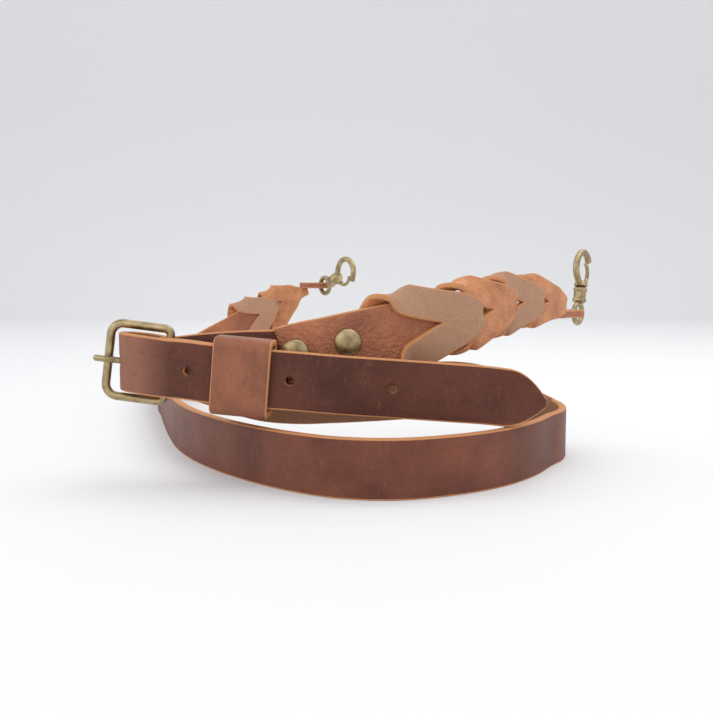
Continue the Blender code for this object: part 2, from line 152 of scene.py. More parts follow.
FLOOR_NEAR = -1.5
FLOOR_FAR = 1.2
FLOOR_HALF = 3.5
BEND_RADIUS = 0.5
BEND_STEPS = 12
BACKDROP_TOP = 3.0
floor_rows = [(FLOOR_NEAR, 0.0), (FLOOR_FAR, 0.0)]
for k in range(1, BEND_STEPS + 1):
    angle = math.pi / 2 * k / BEND_STEPS
    floor_rows.append((FLOOR_FAR + BEND_RADIUS * math.sin(angle), BEND_RADIUS * (1 - math.cos(angle))))
floor_rows.append((FLOOR_FAR + BEND_RADIUS, BACKDROP_TOP))
sheet = bmesh.new()
strips = [[sheet.verts.new((x, y, z)) for x in (-FLOOR_HALF, FLOOR_HALF)] for y, z in floor_rows]
for near, far in zip(strips, strips[1:]):
    sheet.faces.new((near[0], near[1], far[1], far[0]))
floor_mesh = bpy.data.meshes.new("floor")
sheet.to_mesh(floor_mesh)
sheet.free()
floor_mesh.shade_smooth()
floor = bpy.data.objects.new("floor", floor_mesh)
bpy.context.scene.collection.objects.link(floor)
paper = Finish("pale_paper")
floor_mesh.materials.append(paper.finish((0.765, 0.767, 0.777), 0.8))

# columns: name, place, aim, size in metres, power in watts and tint
for name, spot, aim, size, power, tint in (
        ("key", (0.35, 0.05, 0.75), (0, 0, 0.02), 0.7, 2.5, (1.0, 0.98, 0.95)),
        ("front", (-0.35, -0.75, 0.45), (0, 0, 0.03), 0.6, 1.1, (1.0, 0.99, 0.98)),
        ("left", (-0.7, -0.1, 0.35), (0, 0, 0.03), 0.5, 0.7, (0.95, 0.98, 1.0)),
        ("back", (0.0, 0.9, 0.8), (0, 0.3, 0.0), 1.0, 1.5, (1, 1, 1))):
    lamp = bpy.data.lights.new(name, "AREA")
    lamp.size = size
    lamp.energy = power
    lamp.color = tint
    stand = bpy.data.objects.new(name, lamp)
    stand.location = spot
    stand.rotation_euler = (Vector(aim) - Vector(spot)).to_track_quat("-Z", "Y").to_euler()
    bpy.context.scene.collection.objects.link(stand)
world = bpy.data.worlds.new("studio")
world.use_nodes = True
sky = world.node_tree.nodes["Background"]
sky.inputs["Color"].default_value = (0.98, 0.985, 1.0, 1)
sky.inputs["Strength"].default_value = 0.97
bpy.context.scene.world = world
bpy.context.scene.view_settings.view_transform = "Standard"


# Long strap: one length of 20 mm vegetable-tanned leather, 3 mm thick, grain outside and raw flesh inside,
# cut edges left pale. Its punched end passes the keeper and folds back round the buckle, and the rest
# is the coil.
STRAP_WIDTH = 20.0 * MM
STRAP_THICK = 3.0 * MM
THIN_LEATHER = 2.6 * MM
CLEAR = 0.4 * MM
HALF = STRAP_WIDTH / 2
EDGE_ROUND = 0.55 * MM
BAR_X, BAR_Y, BAR_Z = -66.0 * MM, 28.7 * MM, 40.6 * MM
BAR_WIRE = 3.0 * MM
FRAME_TILT = math.radians(7.5)
UP = Vector((0, 0, 1))
GRAIN, CUT, FLESH = 0, 1, 2

hide = Finish("hide_grain")
cloud = hide.noise(45, 4)
fine = hide.noise(900, 4)
pores = hide.cells(1500)
wrinkle = hide.noise(330, 6, 0.72, (1, 1, 1.8))
# light catches the fold in the buckle, and the punched end is darker than the coil below it
fold_light = ((hide.along(0) * -90.0) - 5.6).clamp() * (hide.along(2) * 60 - 0.9).clamp()
upper = ((hide.along(2) - 0.0205) * 400.0).clamp()
lower_colour = hide.blend((cloud * 2.4 - 0.75).clamp(), (0.100, 0.028, 0.016), (0.200, 0.062, 0.034))
upper_colour = hide.blend((cloud * 2.2 - 0.65).clamp(), (0.060, 0.015, 0.008), (0.130, 0.036, 0.020))
body_colour = hide.blend(upper, lower_colour, upper_colour)
body_colour = hide.blend(fold_light * 0.8, body_colour, (0.30, 0.13, 0.08))
# painted shade: the colour is darkened where the wrinkle relief sinks into creases
body_colour = hide.blend((wrinkle * 4.0 - 2.1).clamp() * 0.45, body_colour, (0.030, 0.009, 0.006))
streak = hide.noise(520, 5, 0.75, (1, 1, 0.22))
body_colour = hide.blend((streak * 4.5 - 2.55).clamp() * 0.55, body_colour, (0.30, 0.085, 0.036))
hide_colour = hide.blend((fine * 1.8 - 0.95).clamp() * 0.6, body_colour, (0.26, 0.095, 0.050))
HIDE = hide.finish(hide_colour, 0.36 + 0.22 * fine, pores * 0.5 + fine * 0.6 - wrinkle * 1.2, 0.00024,
                   strength=0.8)
hide.shader.inputs["Specular IOR Level"].default_value = 0.28

cut = Finish("cut_edge")
cut_grain = cut.noise(1400, 4, stretch=(1, 1, 3))
CUT_EDGE = cut.finish(cut.blend(cut_grain, (0.36, 0.13, 0.045), (0.72, 0.34, 0.135)), 0.7, cut_grain, 0.0003)

raw = Finish("raw_flesh")
nap = raw.noise(1700, 5, 0.75)
smear = raw.noise(160, 3)
raw_colour = raw.blend((nap * 1.8 - 0.4).clamp(), (0.30, 0.15, 0.085), (0.62, 0.38, 0.24))
RAW_FLESH = raw.finish(raw.blend(smear * 0.4, raw_colour, (0.40, 0.19, 0.11)), 0.88, nap, 0.0005)


def curve_through(rows, spacing):
    """Points about one spacing apart on a smooth curve through the rows, each in metres."""
    points = [Vector(row) for row in rows]
    gaps = [(b - a).length for a, b in zip(points, points[1:])]
    slopes = [(points[1] - points[0]) / gaps[0]]
    for i in range(1, len(points) - 1):
        before, after = gaps[i - 1], gaps[i]
        slopes.append(((points[i + 1] - points[i]) * before / after
                       + (points[i] - points[i - 1]) * after / before) / (before + after))
    slopes.append((points[-1] - points[-2]) / gaps[-1])
    out = []
    for i, gap in enumerate(gaps):
        count = max(1, round(gap / spacing))
        for k in range(count):
            u = k / count
            out.append((2 * u**3 - 3 * u**2 + 1) * points[i] + (u**3 - 2 * u**2 + u) * gap * slopes[i]
                       + (3 * u**2 - 2 * u**3) * points[i + 1] + (u**3 - u**2) * gap * slopes[i + 1])
    return out + [points[-1]]


def tangents(centre):
    last = len(centre) - 1
    return [(centre[min(i + 1, last)] - centre[max(i - 1, 0)]).normalized() for i in range(last + 1)]


SECTION_COLUMNS = 8
EDGE_STEP = 22.5


def strap_section(w, t, roundness):
    """Outline of a strap: flat faces in columns, and edges rounded off; each point with its kind of face."""
    e = min(roundness, w / 3)
    columns = [w - e - (w - e) * 2 * k / SECTION_COLUMNS for k in range(SECTION_COLUMNS + 1)]

    def edge(across, out, start):
        turns = [math.radians(start + EDGE_STEP * k) for k in range(1, 4)]
        return [(across + e * math.cos(a), out + e * math.sin(a), CUT) for a in turns]

    return ([(a, t, GRAIN) for a in columns[:-1]] + [(columns[-1], t, CUT)] + edge(e - w, t - e, 90)
            + [(-w, 0, CUT)] + edge(e - w, e - t, 180)
            + [(-a, -t, FLESH) for a in columns[:-1]] + [(w - e, -t, CUT)] + edge(w - e, e - t, -90)
            + [(w, 0, CUT)] + edge(w - e, t - e, 0))


def strap_mesh(centre, thickness, grain_out, half=None, facing=None, up=UP, work=None):
    """Lofts a strap along its centre points into a bmesh, with grain, cut edge and flesh faces."""
    work = work or bmesh.new()
    rings, kinds = [], []
    for i, (point, along) in enumerate(zip(centre, tangents(centre))):
        if facing:
            out = (facing[i] - along * facing[i].dot(along)).normalized()
            across = along.cross(out)
        else:
            across = (up - along * along.dot(up)).normalized()
            out = along.cross(across)
        w = half(i, centre) if half else HALF
        outline = strap_section(w, thickness / 2, EDGE_ROUND)
        kinds = [kind for _, _, kind in outline]
        rings.append([work.verts.new(SHIFT + point + across * a + out * b) for a, b, _ in outline])
    for low, high in zip(rings, rings[1:]):
        for i in range(len(low)):
            j = (i + 1) % len(low)
            face = work.faces.new((low[i], low[j], high[j], high[i]))
            kind = kinds[i]
            face.material_index = kind if grain_out or kind == CUT else FLESH - kind
            face.smooth = True
    for ring in (list(reversed(rings[0])), rings[-1]):
        work.faces.new(ring).material_index = CUT
    return work


def leather_piece(name, work, materials, node, body="strap"):
    bmesh.ops.recalc_face_normals(work, faces=work.faces)
    mesh = bpy.data.meshes.new(name)
    work.to_mesh(mesh)
    work.free()
    for finish in materials:
        mesh.materials.append(finish)
    made = bpy.data.objects.new(name, mesh)
    bpy.context.scene.collection.objects.link(made)
    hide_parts(node)
    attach(made, body)
    return made


LEG_OFFSET = BAR_WIRE / 2 + CLEAR + THIN_LEATHER / 2
FRONT_LAYER_Y = BAR_Y - LEG_OFFSET - THIN_LEATHER / 2 - CLEAR - STRAP_THICK / 2
FOLD_RADIUS = BAR_Y - FRONT_LAYER_Y
FOLD_X = BAR_X - 8.5 * MM
# columns are x, y and the lift of the lower edge above the table, in strap widths
BILLET_ROWS = ((3.25, 1.3, 0.89), (2.85, 1.18, 0.965), (2.4, 1.08, 1.04), (1.5, 0.945, 1.13),
               (0.62, 0.875, 1.2), (-0.3, 0.855, 1.265), (-1.15, 0.87, 1.335), (-1.93, 0.92, 1.39),
               (-2.6, 0.99, 1.46), (-2.95, 1.04, 1.5))
BACK_ROWS = ((-2.7, 1.8, 1.33), (-2.1, 1.82, 1.12), (-1.65, 1.85, 0.99), (-1.1, 1.89, 0.935),
             (-0.4, 1.93, 0.945), (0.4, 1.99, 0.975), (1.1, 2.075, 1.01), (1.6, 2.25, 1.03),
             (1.95, 2.475, 1), (2.3, 2.8, 0.915), (2.65, 3.2, 0.79), (3, 3.65, 0.61), (3.35, 4.075, 0.4),
             (3.65, 4.375, 0.23), (3.95, 4.425, 0.09), (4.15, 4.15, 0.02), (4.15, 3.7, 0),
             (3.975, 3.15, 0), (3.64, 2.62, 0))
COIL_ROWS = ((3.2, 1.85), (2.45, 0.975), (1.55, 0.38), (0.61, 0.075), (-0.25, 0.185), (-1.085, 0.675),
             (-1.65, 1.175), (-2.37, 1.99), (-3.075, 3.025), (-3.65, 4.2), (-4.1, 5.5), (-4.55, 7),
             (-5, 8.6), (-5.4, 10), (-5.6, 11.1))
TURN_ROWS = ((-5.55, 12, 0.125), (-5.15, 12.7, 0.425), (-4.5, 13.1, 0.825), (-3.8, 13.25, 1.225))


def in_widths(rows):
    return [[value * STRAP_WIDTH for value in row] for row in rows]


def lifted(rows):
    return [(x, y, lift + HALF) for x, y, lift in in_widths(rows)]


FRONT_DIP = 0.2 * MM
BACK_DIP = 0.6 * MM
LONG_STEP = 1.6 * MM
TIP_LENGTH = 15.0 * MM
TIP_BLUNT = 0.16
HALF_TURN = [math.pi * k / 6 for k in range(7)]


def frame_height(x):
    """Height of the tilted buckle frame's middle at x."""
    return BAR_Z + (BAR_X - x) * math.tan(FRAME_TILT)


fold = [(BAR_X, FRONT_LAYER_Y, BAR_Z - FRONT_DIP)]
for angle in HALF_TURN:
    fold_x = FOLD_X - FOLD_RADIUS * math.sin(angle)
    fold.append((fold_x, BAR_Y - FOLD_RADIUS * math.cos(angle), frame_height(fold_x)))
fold.append((BAR_X, 2 * BAR_Y - FRONT_LAYER_Y, BAR_Z - BACK_DIP))
coil = lifted([(x, y, 0) for x, y in COIL_ROWS])
long_rows = lifted(BILLET_ROWS) + fold + lifted(BACK_ROWS) + coil + lifted(TURN_ROWS)
long_route = curve_through(long_rows, LONG_STEP)


def pointed(i, centre):
    share = min(1.0, (centre[i] - centre[0]).length / TIP_LENGTH)
    return HALF * (TIP_BLUNT + (1 - TIP_BLUNT) * math.sin(math.pi / 2 * share) ** 0.9)


long_strap = leather_piece("leather_long_strap", strap_mesh(long_route, STRAP_THICK, False, pointed),
                           (HIDE, CUT_EDGE, RAW_FLESH), "long_strap")


def round_solid(rings):
    work = bmesh.new()
    loops = [[work.verts.new(p) for p in ring] for ring in rings]
    for a, b in zip(loops, loops[1:]):
        for i in range(len(a)):
            j = (i + 1) % len(a)
            work.faces.new((a[i], a[j], b[j], b[i]))
    work.faces.new(list(reversed(loops[0])))
    work.faces.new(loops[-1])
    bmesh.ops.recalc_face_normals(work, faces=work.faces)
    mesh = bpy.data.meshes.new("round")
    work.to_mesh(mesh)
    work.free()
    return mesh


def frame_at(origin, out, up):
    z = out.normalized()
    x = up.cross(z).normalized()
    return Matrix.Translation(origin) @ Matrix((x, z.cross(x), z)).transposed().to_4x4()


def turned(name, radius_heights, matrix, finish, sides=40):
    rings = [[matrix @ Vector((r * math.cos(math.tau * k / sides), r * math.sin(math.tau * k / sides), h))
              for k in range(sides)] for r, h in radius_heights]
    made = bpy.data.objects.new(name, round_solid(rings))
    made.data.materials.append(finish)
    made.data.shade_smooth()
    made.data.set_sharp_from_angle(angle=math.radians(40))
    bpy.context.scene.collection.objects.link(made)
    return made


def punched(piece, spot, out, diameter, reach):
    """Cuts a round hole through one layer of a piece."""
    r = diameter / 2
    cutter = turned("punch", ((r, -reach), (r, reach)), frame_at(SHIFT + spot, out, UP), CUT_EDGE, 24)
    step = piece.modifiers.new("hole", "BOOLEAN")
    step.operation = "DIFFERENCE"
    step.object = cutter
    bpy.context.view_layer.update()
    baked = bpy.data.meshes.new_from_object(piece.evaluated_get(bpy.context.evaluated_depsgraph_get()))
    piece.modifiers.clear()
    piece.data = baked
    bpy.data.objects.remove(cutter, do_unlink=True)


def along_at_x(route, x):
    for a, b in zip(route, route[1:]):
        if (a.x - x) * (b.x - x) <= 0 and a.x != b.x:
            return a.lerp(b, (x - a.x) / (b.x - a.x)), (b - a).normalized()
    return route[0], (route[1] - route[0]).normalized()


HOLE_PLACES = (-57.0, -22.5, 12.0)
HOLE = 3.0 * MM
PRONG_HOLE = 5.0 * MM
PUNCH_REACH = 4 * MM
for place in HOLE_PLACES:
    spot, way = along_at_x(long_route, place * MM)
    punched(long_strap, spot, UP.cross(way), HOLE, PUNCH_REACH)
# the prong leaves the fold a little ahead of the bar's middle
apex_x = FOLD_X - FOLD_RADIUS
apex = Vector((apex_x, BAR_Y - 1.4 * MM, frame_height(apex_x)))
punched(long_strap, apex, Vector((-1, 0, 0)), PRONG_HOLE, PUNCH_REACH)


# Buckle strap: a shorter strap of thinner leather. Its end is folded round the buckle's bar, its turned end
# lies in the keeper, and its long leg runs behind to the plait's rivets.
KEEPER_X = -38.6 * MM
KEEPER_STRAP_Y = 18.4 * MM
KEEPER_LEG_Y = KEEPER_STRAP_Y + STRAP_THICK / 2 + CLEAR + THIN_LEATHER / 2
# columns: x, the offset back from the leg's place in the keeper and the drop below the bar, in mm
TURNED_END = ((-27.0, -0.5, 4.0), (-38.6, 0.0, 2.8), (-50.0, 1.8, 1.6), (-58.0, 3.3, 0.6))
LEG_ROWS = ((-2.6, 1.55, 2.1), (-2, 1.53, 2.14), (-1.3, 1.57, 2.16), (-0.5, 1.61, 2.22),
            (0.2, 1.72, 2.32))
LEG_STEP = 1.2 * MM
turned_end = [(x * MM, KEEPER_LEG_Y + back * MM, BAR_Z - drop * MM) for x, back, drop in TURNED_END]
round_bar = [(BAR_X - LEG_OFFSET * math.sin(a), BAR_Y - LEG_OFFSET * math.cos(a), BAR_Z) for a in HALF_TURN]
buckle_route = curve_through(turned_end + round_bar + in_widths(LEG_ROWS), LEG_STEP)
bar_up = Vector((math.sin(FRAME_TILT), 0, math.cos(FRAME_TILT)))
buckle_strap = leather_piece("leather_buckle_strap", strap_mesh(buckle_route, THIN_LEATHER, True, up=bar_up),
                             (HIDE, CUT_EDGE, RAW_FLESH), "buckle_strap")
punched(buckle_strap, Vector((BAR_X - LEG_OFFSET, BAR_Y, BAR_Z)), Vector((-1, 0, 0)), PRONG_HOLE, 3.5 * MM)


# Keeper: a loop of smooth orange-brown leather with a rough pale cut edge, slid over the punched end
# and the buckle strap's turned end.
KEEPER_WALL = 2.2 * MM
KEEPER_LENGTH = 19.5 * MM
KEEPER_CORNER = 1.2 * MM
OUTER_ROUND = 0.4 * MM
INNER_ROUND = 0.3 * MM
tan = Finish("keeper_tan")
tan_cloud = tan.noise(70, 4)
tan_fine = tan.noise(1100, 4)
tan_colour = tan.blend((tan_cloud * 2 - 0.5).clamp(), (0.17, 0.048, 0.019), (0.32, 0.105, 0.042))
tan_streak = tan.noise(300, 5, 0.7, (1, 1, 0.4))
tan_colour = tan.blend((tan_streak * 4 - 2.0).clamp() * 0.45, tan_colour, (0.10, 0.030, 0.014))
TAN_HIDE = tan.finish(tan.blend((tan_fine * 2 - 1.1).clamp() * 0.5, tan_colour, (0.5, 0.25, 0.14)),
                      0.40 + 0.2 * tan_fine, tan_fine + tan.cells(1300) * 0.4, 0.00015, strength=0.6)
keeper_play = 0.6 * MM
keeper_depth = STRAP_THICK + THIN_LEATHER + CLEAR + 4 * keeper_play
keeper_height = STRAP_WIDTH + 2.2 * MM
keeper_spot, keeper_way = along_at_x(long_route, KEEPER_X)
keeper_along = keeper_way if keeper_way.x > 0 else -keeper_way
keeper_back = Vector((-keeper_along.y, keeper_along.x, 0)).normalized()
keeper_up = keeper_along.cross(keeper_back).normalized()
keeper_centre = SHIFT + keeper_spot + keeper_back * ((keeper_depth - STRAP_THICK) / 2 - keeper_play)


def keeper_ring(wall, shift):
    ring = []
    corner = KEEPER_CORNER + wall
    for a, b, start in ((1, 1, 0), (-1, 1, 90), (-1, -1, 180), (1, -1, 270)):
        for k in range(7):
            angle = math.radians(start + 15 * k)
            ring.append(keeper_centre + keeper_along * shift
                        + keeper_back * (a * (keeper_depth / 2 + wall - corner) + corner * math.cos(angle))
                        + keeper_up * (b * (keeper_height / 2 + wall - corner) + corner * math.sin(angle)))
    return ring


work = bmesh.new()
half_length = KEEPER_LENGTH / 2
flat_length = KEEPER_LENGTH - 2 * OUTER_ROUND
profile = ([(KEEPER_WALL, -half_length + OUTER_ROUND + flat_length * k / 8, GRAIN) for k in range(8)]
           + [(KEEPER_WALL, half_length - OUTER_ROUND, CUT), (KEEPER_WALL - OUTER_ROUND, half_length, CUT),
              (INNER_ROUND, half_length, CUT), (0, half_length - INNER_ROUND, FLESH),
              (0, -half_length + INNER_ROUND, CUT), (INNER_ROUND, -half_length, CUT),
              (KEEPER_WALL - OUTER_ROUND, -half_length, CUT)])
loops = [[work.verts.new(p) for p in keeper_ring(wall, shift)] for wall, shift, _ in profile]
for i, (_, _, kind) in enumerate(profile):
    low, high = loops[i], loops[(i + 1) % len(loops)]
    for k in range(len(low)):
        j = (k + 1) % len(low)
        face = work.faces.new((low[k], low[j], high[j], high[k]))
        face.material_index = kind
        face.smooth = True
leather_piece("leather_keeper", work, (TAN_HIDE, CUT_EDGE, RAW_FLESH), "keeper")


# Buckle: a cast frame of antique brass wire, rounded at its corners, and a straight prong hinged on its bar.
FRAME_LENGTH = 20.6 * MM
FRAME_CORNER = 4.2 * MM
BAR_CORNER = 2.2 * MM
CORNER_STEPS = 8
PRONG_WIRE = 2.2 * MM
WIRE_ROUNDNESS = 5
patina = Finish("antique_brass")
tarnish = patina.noise(260, 5, 0.65)
specks = patina.noise(1800, 3)
brass_colour = patina.blend((tarnish * 2.4 - 0.8).clamp(), (0.24, 0.18, 0.095), (0.58, 0.46, 0.26))
BRASS = patina.finish(patina.blend((specks * 2 - 1.1).clamp() * 0.6, brass_colour, (0.12, 0.09, 0.055)),
                      0.26 + 0.25 * tarnish, specks, 0.00006, metallic=1.0, strength=0.5)


def wire(name, points, diameter, closed=False):
    """A round wire through the points, as a mesh with closed ends."""
    curve = bpy.data.curves.new(name, "CURVE")
    curve.dimensions = "3D"
    curve.bevel_depth = diameter / 2
    curve.bevel_resolution = WIRE_ROUNDNESS
    curve.use_fill_caps = True
    run = curve.splines.new("POLY")
    run.points.add(len(points) - 1)
    for spot, point in zip(run.points, points):
        spot.co = (*point, 1)
    run.use_cyclic_u = closed
    guide = bpy.data.objects.new(name + "_guide", curve)
    bpy.context.scene.collection.objects.link(guide)
    bpy.context.view_layer.update()
    mesh = bpy.data.meshes.new_from_object(guide.evaluated_get(bpy.context.evaluated_depsgraph_get()))
    bpy.data.objects.remove(guide, do_unlink=True)
    weld = bmesh.new()
    weld.from_mesh(mesh)
    bmesh.ops.remove_doubles(weld, verts=weld.verts, dist=1e-6)
    bmesh.ops.recalc_face_normals(weld, faces=weld.faces)
    weld.to_mesh(mesh)
    weld.free()
    mesh.materials.clear()
    mesh.materials.append(BRASS)
    mesh.shade_smooth()
    mesh.set_sharp_from_angle(angle=math.radians(50))
    made = bpy.data.objects.new(name, mesh)
    bpy.context.scene.collection.objects.link(made)
    return made


def brass_piece(name, parts, node, body="strap"):
    """Joins brass shapes into one piece that stands for its node."""
    joined = bmesh.new()
    for part in parts:
        joined.from_mesh(part.data)
    mesh = bpy.data.meshes.new(name)
    joined.to_mesh(mesh)
    joined.free()
    mesh.materials.append(BRASS)
    for part in parts:
        bpy.data.objects.remove(part, do_unlink=True)
    made = bpy.data.objects.new(name, mesh)
    bpy.context.scene.collection.objects.link(made)
    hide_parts(node)
    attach(made, body)
    return made


frame_half_height = HALF + 1.3 * MM + BAR_WIRE / 2
frame_points = []
tilt = Matrix.Rotation(FRAME_TILT, 4, "Y")
for far, b, start in ((False, 1, 0), (True, 1, 90), (True, -1, 180), (False, -1, 270)):
    radius = FRAME_CORNER if far else BAR_CORNER
    for k in range(CORNER_STEPS + 1):
        angle = math.radians(start + 90 * k / CORNER_STEPS)
        x = (radius - FRAME_LENGTH if far else -radius) + radius * math.cos(angle)
        z = b * (frame_half_height - radius) + radius * math.sin(angle)
        frame_points.append(SHIFT + Vector((BAR_X, BAR_Y, BAR_Z)) + tilt @ Vector((x, 0, z)))
brass_piece("brass_buckle_frame", [wire("frame", frame_points, BAR_WIRE, closed=True)], "buckle_frame")
prong_radius = PRONG_WIRE / 2
prong_front = BAR_WIRE / 2 + prong_radius + CLEAR
# columns: the reach from the bar toward the prong's tip, and the place ahead of the bar's middle
prong_rows = ((BAR_WIRE / 2 + CLEAR + prong_radius, 0),
              (6 * MM, 0.5 * MM),
              (BAR_X - apex_x - 1 * MM, 1.3 * MM),
              (BAR_X - apex_x + 1.6 * MM, 2.3 * MM),
              (FRAME_LENGTH - 1.1 * MM, prong_front),
              (FRAME_LENGTH + 3.2 * MM, prong_front + 0.1 * MM))
prong_points = [Vector((BAR_X - left, BAR_Y - ahead, BAR_Z + left * math.tan(FRAME_TILT)))
                for left, ahead in prong_rows]
prong_run = [SHIFT + p for p in curve_through(prong_points, 0.6 * MM)]
tip_profile = [(prong_radius * math.cos(math.radians(a)), prong_radius * math.sin(math.radians(a)))
               for a in range(0, 86, 17)]
prong_tip = turned("tip", tip_profile, frame_at(prong_run[-1], prong_run[-1] - prong_run[-2], UP), BRASS, 24)
brass_piece("brass_buckle_prong", [wire("prong", prong_run, PRONG_WIRE), prong_tip], "buckle_prong")


# Plaits: the end of each strap is slit and pulled through itself, so that pairs of arms meet in chevrons
# and turn flesh and grain to the front in turn. The tapered tail is pebbled and riveted to its strap.
PLAIT_HALF = 12.0 * MM
PLAIT_DEPTH = 2.9 * MM
RIGHT_AXIS = ((0.1, 1.52, 2.515), (0.77, 1.625, 2.64), (1.585, 1.9, 2.8), (2.2, 2.45, 2.93),
              (2.78, 3.2, 3.04), (3.35, 4, 3.09), (3.895, 4.8, 3.08), (4.4, 5.55, 2.98),
              (4.75, 6.05, 2.85), (4.975, 6.35, 2.76))
LEFT_AXIS = ((-3.8, 13.25, 2.1), (-3.1, 13.1, 2.4), (-2.4, 12.8, 2.75), (-1.8, 12.4, 3.05),
             (-1.4, 12, 3.26), (-1.1, 11.6, 3.38))
# columns: an arm's place along from its notch, in pitches; across, in half widths of the plait; out, in
# depths of the plait; and the parts of its facing across and out
ARM_ROWS = ((-1.28, 0.20, -1.1, 0, -1), (-1.08, 0.78, -1.0, 0.4, -1), (-0.90, 1.0, -0.3, 1, 0),
            (-0.74, 0.84, 0.4, 0.3, 1), (-0.36, 0.52, 0.8, 0, 1), (0.05, 0.26, 1.2, 0, 1),
            (0.36, 0.08, 1.1, 0, 1), (0.52, 0.05, -0.6, 0, 1))

pebble = Finish("pebbled_tan")
pebble_cloud = pebble.noise(60, 4)
bead = pebble.cells(900)
pebble_fine = pebble.noise(1500, 4)
pebble_colour = pebble.blend((pebble_cloud * 2.2 - 0.6).clamp(), (0.20, 0.056, 0.024), (0.44, 0.150, 0.060))
pebble_colour = pebble.blend((pebble_fine * 2 - 1.0).clamp() * 0.5, pebble_colour, (0.62, 0.33, 0.19))
PEBBLED = pebble.finish(pebble_colour, 0.42 + 0.25 * pebble_fine, (1 - bead) * 1.0 + pebble_fine * 0.5,
                        0.00035)
# Grain faces of the plait's arms, painted lighter and pinker than the tail: a painted highlight where light
# catches the strands.
arm_sheen = Finish("plait_arm_sheen")
arm_sheen_cloud = arm_sheen.noise(120, 4)
arm_sheen_fine = arm_sheen.noise(1200, 4)
arm_sheen_colour = arm_sheen.blend((arm_sheen_cloud * 2.2 - 0.6).clamp(), (0.32, 0.10, 0.036), (0.64, 0.27, 0.105))
ARM_SHEEN = arm_sheen.finish(arm_sheen.blend((arm_sheen_fine * 2 - 1.0).clamp() * 0.5, arm_sheen_colour, (0.72, 0.42, 0.26)),
                   0.42 + 0.22 * arm_sheen_fine, arm_sheen.cells(900) + arm_sheen_fine * 0.6, 0.0003)
ARM_GRAIN = 3
EYE_RADIUS = 4.6 * MM
EYE_WIRE = 2.4 * MM
EYE_GAP = EYE_WIRE / 2 + 0.9 * MM + THIN_LEATHER / 2
TAB_HALF = 1.7 * MM
JOINED_HALF = 10.6 * MM
NARROWING = 0.09
AXIS_STEP = 1.0 * MM
TAIL_STEP = 1.5 * MM
ARM_STEP = 0.9 * MM
TAB_STEP = 0.8 * MM
CHORD_SHARE = 0.985


def lengths_to(points):
    """Length of the run of points up to each of them."""
    lengths = [0.0]
    for a, b in zip(points, points[1:]):
        lengths.append(lengths[-1] + (b - a).length)
    return lengths


def plait_spot(axis, reach, along, across, out):
    share = min(max(along, 0), reach[-1] - 1e-6)
    i = max(k for k in range(len(reach) - 1) if reach[k] <= share)
    way = (axis[i + 1] - axis[i]).normalized()
    base = axis[i] + way * (along - reach[i])
    side = (UP - way * way.z).normalized()
    front = side.cross(way)
    front = front if front.y < 0 else -front
    return base + side * across + front * out, side, front


def arm_facing(fine, points, faces):
    """Facing at each fine point, turned from that of one row to that of the next."""
    marks = lengths_to(points)
    facing = []
    for run in lengths_to(fine):
        i = max(q for q in range(len(points) - 1) if marks[q] <= run * CHORD_SHARE)
        mix = (run - marks[i]) / (marks[i + 1] - marks[i])
        facing.append(faces[i].lerp(faces[i + 1], min(1, max(0, mix))))
    return facing


def plait(name, node, axis_rows, chevrons, notches, tail_rows, arm_half):
    """A plaited end: its tail, its pairs of arms, and the tab round its eye. Gives the eye and its way."""
    axis = curve_through(in_widths(axis_rows), AXIS_STEP)
    reach = lengths_to(axis)

    def tail_half(i, centre):
        return HALF + (JOINED_HALF - HALF) * min(1, i / (len(centre) - 1))

    work = strap_mesh(curve_through(in_widths(tail_rows), TAIL_STEP), THIN_LEATHER, True, tail_half)
    for face in work.faces:
        face.smooth = True
    start, end = notches
    pitch = (end - start) / chevrons
    for k in range(chevrons):
        notch = start + pitch * k
        narrow = 1.0 - NARROWING * k

        def tapered(i, centre):
            return arm_half * narrow * min(1, 0.3 + 2.4 * (1 - i / (len(centre) - 1)))

        for hand in (1, -1):
            points, faces = [], []
            for along, across, out, face_across, face_out in ARM_ROWS:
                p, side, front = plait_spot(axis, reach, notch + along * pitch,
                                            hand * across * PLAIT_HALF * narrow, out * PLAIT_DEPTH)
                points.append(p)
                faces.append((side * hand * face_across + front * face_out).normalized())
            fine = curve_through(points, ARM_STEP)
            before = len(work.faces)
            strap_mesh(fine, THIN_LEATHER, k % 2 == 1, tapered, arm_facing(fine, points, faces), work=work)
            work.faces.ensure_lookup_table()
            for face in work.faces[before:]:
                if face.material_index == GRAIN:
                    face.material_index = ARM_GRAIN
    base, _, _ = plait_spot(axis, reach, reach[-1], 0, 0)
    ahead, _, _ = plait_spot(axis, reach, reach[-1] + MM, 0, 0)
    way = ahead - base
    way = Vector((way.x, way.y, 0)).normalized()
    eye = base + way * (EYE_RADIUS + 2.0 * MM)
    bar = eye - way * EYE_RADIUS
    cross = way.cross(UP)
    near_gap = THIN_LEATHER / 2 + CLEAR / 2
    tab = [base - way * back * MM + cross * near_gap for back in (16, 8)]
    tab += [bar + way * EYE_GAP * math.sin(a) + cross * EYE_GAP * math.cos(a) for a in HALF_TURN]
    tab += [base - way * back * MM - cross * near_gap for back in (8, 16)]
    strap_mesh(curve_through(tab, TAB_STEP), THIN_LEATHER, True, lambda i, centre: TAB_HALF, work=work)
    leather_piece(name, work, (PEBBLED, CUT_EDGE, RAW_FLESH, ARM_SHEEN), node)
    return eye, way


RIGHT_TAIL = ((-1.3, 1.41, 2.21), (-1.07, 1.42, 2.27), (-0.5, 1.445, 2.38), (-0.165, 1.475, 2.45),
              (0.25, 1.53, 2.53), (0.77, 1.6, 2.63), (1.4, 1.8, 2.75), (1.8, 2.1, 2.84))
LEFT_TAIL = ((-5.225, 12.28, 1.075), (-5.03, 12.56, 1.225), (-4.75, 12.77, 1.4), (-4.445, 12.92, 1.575),
             (-3.765, 13.065, 1.925), (-3.2, 13.08, 2.225), (-2.7, 12.95, 2.5))
